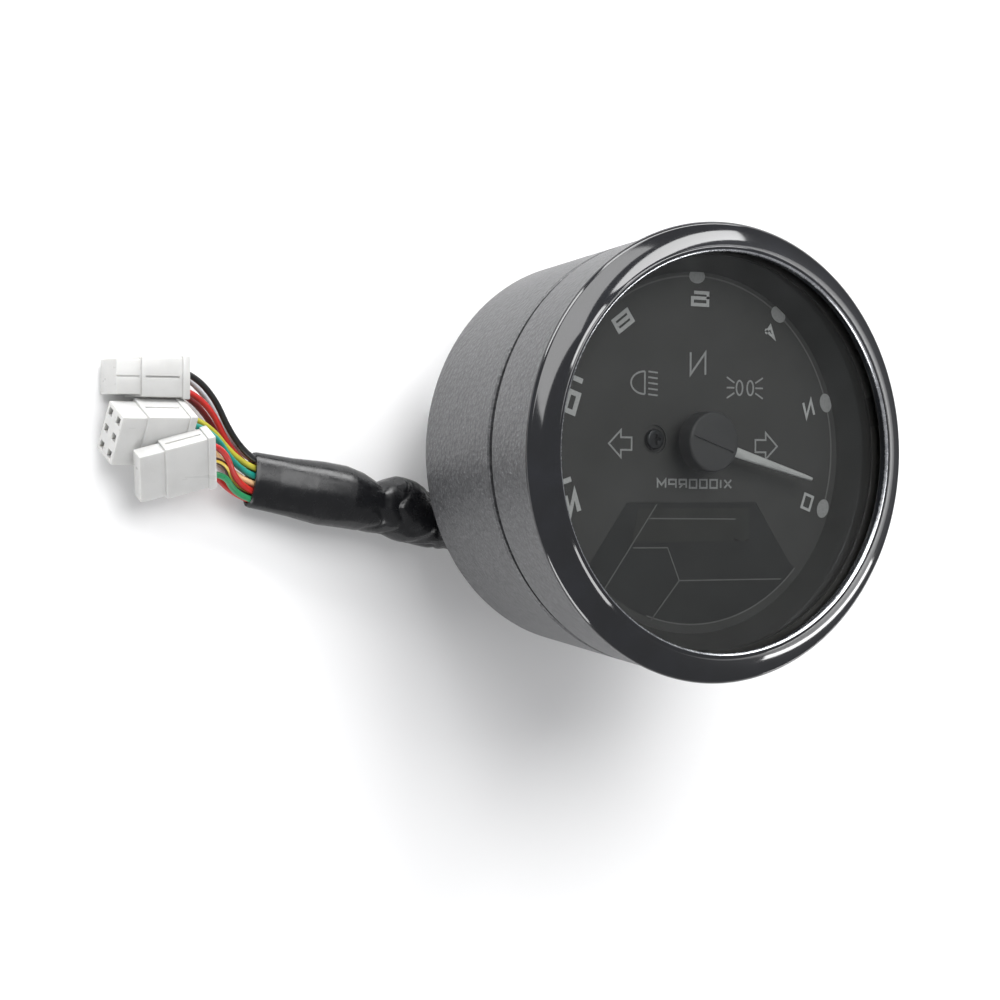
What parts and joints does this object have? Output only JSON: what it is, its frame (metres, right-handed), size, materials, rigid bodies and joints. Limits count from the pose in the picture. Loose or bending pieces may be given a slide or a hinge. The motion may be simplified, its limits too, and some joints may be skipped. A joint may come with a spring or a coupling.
{
  "type": "motorcycle instrument cluster",
  "caption": "Round tapered gauge with a coved bezel, rev scale, pointer and display window, on mounting studs, with a sleeved harness ending in small white plugs.",
  "frame": {"origin": "on the plane of the stud tips, under the middle of the bezel, where the gauge stands face up", "axes": "+Z is the dial's outward normal, +Y points to twelve o'clock on the dial, +X to three o'clock; the harness leaves towards -X"},
  "size_m": [0.14, 0.085, 0.0633],
  "materials": {
    "case_plastic": "fine moulded texture, grey-black",
    "black_chrome": "polished black plating",
    "seal_rubber": "matt black",
    "gland_rubber": "moulded black rubber, slight sheen",
    "button_rubber": "matt black",
    "lens_clear": "clear polycarbonate, polished",
    "trim_black": "gloss black moulding",
    "dial_print": "warm black dial with pale grey print",
    "pointer_white": "pale grey paint",
    "hub_black": "satin black cap",
    "white_plastic": "white moulding",
    "display_glass": "dark display glass with a fine dark film",
    "light_guide": "clear acrylic",
    "contact_strip": "layered pink and black",
    "board_green": "solder-masked board",
    "lamp_lens": "pale yellow lens in a white body",
    "chip_black": "matt black moulding",
    "motor_black": "black moulding",
    "can_aluminium": "bright drawn cans",
    "coil_copper": "wound enamelled copper wire",
    "pin_brass": "tinned brass",
    "terminal_brass": "tinned brass, dull",
    "zinc_steel": "zinc plated",
    "shaft_steel": "ground steel",
    "sleeve_black": "glossy black tubing, creased",
    "connector_nylon": "translucent natural nylon",
    "lead_black": "extruded insulation",
    "lead_grey": "extruded insulation",
    "lead_maroon": "extruded insulation",
    "lead_red": "extruded insulation",
    "lead_olive": "extruded insulation",
    "lead_teal": "extruded insulation",
    "lead_white": "extruded insulation",
    "lead_cream": "extruded insulation",
    "lead_green": "extruded insulation",
    "lead_brown": "dark brown insulation with a yellow tracer"
  },
  "bodies": {
    "case": {"rear_housing": "case_plastic", "housing_seal": "seal_rubber", "middle_ring": "case_plastic", "bezel": "black_chrome", "lens": "lens_clear", "lens_gasket": "seal_rubber", "trim_ring": "trim_black", "dial_plate": "dial_print", "dial_screw": "zinc_steel", "board_screws": "zinc_steel", "housing_screws": "zinc_steel", "light_box": "white_plastic", "lcd_panel": "display_glass", "lcd_light_guide": "light_guide", "lcd_contact_strips": "contact_strip", "circuit_board": "board_green", "lamps": "lamp_lens", "controller_chip": "chip_black", "capacitors": "can_aluminium", "regulator": "chip_black", "board_connector": "white_plastic", "motor_base": "motor_black", "motor_cover": "motor_black", "motor_pins": "pin_brass", "motor_coils": "coil_copper", "switch_body": "chip_black", "button_seal": "seal_rubber", "mounting_studs": "zinc_steel", "stud_washers": "zinc_steel", "stud_nuts": "zinc_steel", "harness_gland": "gland_rubber", "gland_clamp": "zinc_steel", "inner_leads": "seal_rubber", "harness_sleeve": "sleeve_black", "connector_a": "connector_nylon", "connector_b": "connector_nylon", "connector_c": "connector_nylon", "terminals_a": "terminal_brass", "terminals_b": "terminal_brass", "terminals_c": "terminal_brass", "lead_a_black": "lead_black", "lead_a_grey": "lead_grey", "lead_a_maroon": "lead_maroon", "lead_a_red": "lead_red", "lead_b_olive": "lead_olive", "lead_b_teal": "lead_teal", "lead_b_white": "lead_white", "lead_b_cream": "lead_cream", "lead_b_red": "lead_red", "lead_c_red": "lead_red", "lead_c_brown": "lead_brown", "lead_c_green": "lead_green"},
    "pointer": {"pointer_shaft": "shaft_steel", "pointer_needle": "pointer_white", "pointer_hub": "hub_black"},
    "button": {"mode_button": "button_rubber"},
    "stem": {"switch_stem": "chip_black"}
  },
  "joints": [
    {"name": "pointer_turn", "type": "hinge", "parent": "case", "child": "pointer", "pos_m": [0, 0.002, 0.0563], "axis": [0, 0, 1], "range_deg": [-7, 219]},
    {"name": "button_press", "type": "slide", "parent": "case", "child": "button", "axis": [0, 0, 1], "range_m": [0, 0.00025], "stiffness_N_per_m": 6000, "springref_m": -0.0001},
    {"name": "switch_press", "type": "slide", "parent": "case", "child": "stem", "axis": [0, 0, 1], "range_m": [0, 0.00025]}
  ],
  "couplings": [
    {"joint": "switch_press", "follows": "button_press", "ratio": 1}
  ]
}
